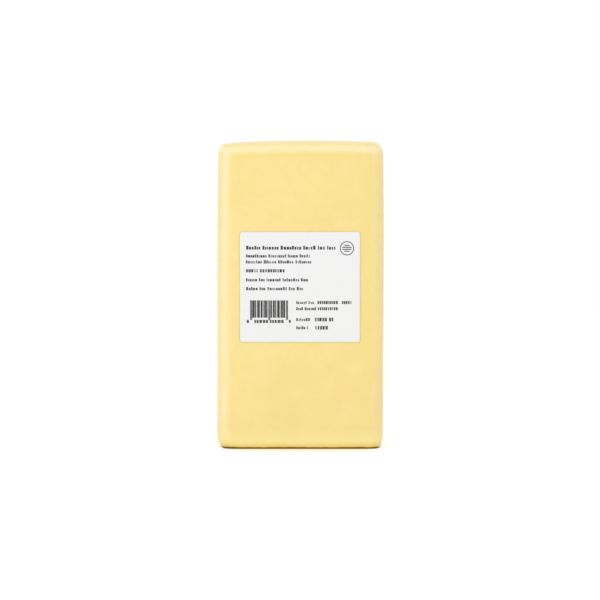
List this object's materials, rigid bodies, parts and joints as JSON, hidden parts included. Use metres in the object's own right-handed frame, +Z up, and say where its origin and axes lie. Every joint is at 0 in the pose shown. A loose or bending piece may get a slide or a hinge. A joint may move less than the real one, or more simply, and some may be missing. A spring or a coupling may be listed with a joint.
{
  "type": "block of cheddar",
  "caption": "Upright block of pale cheddar with softly rounded edges, a low domed top and a white paper label on its front face.",
  "frame": {"origin": "middle of the flat base that the block stands on", "axes": "+Z up along the block's longest side, -Y towards the face with the label, +X to the right as the label is read"},
  "size_m": [0.1404, 0.0607, 0.2568],
  "materials": {
    "cheddar": "smooth pale yellow cheese, waxy satin with a soft sheen on the rounded edges",
    "label_paper": "smooth coated white paper, satin",
    "print_ink": "flat black thermal print"
  },
  "bodies": {
    "root": {"cheese_block": "cheddar", "label": "label_paper"}
  },
  "joints": []
}
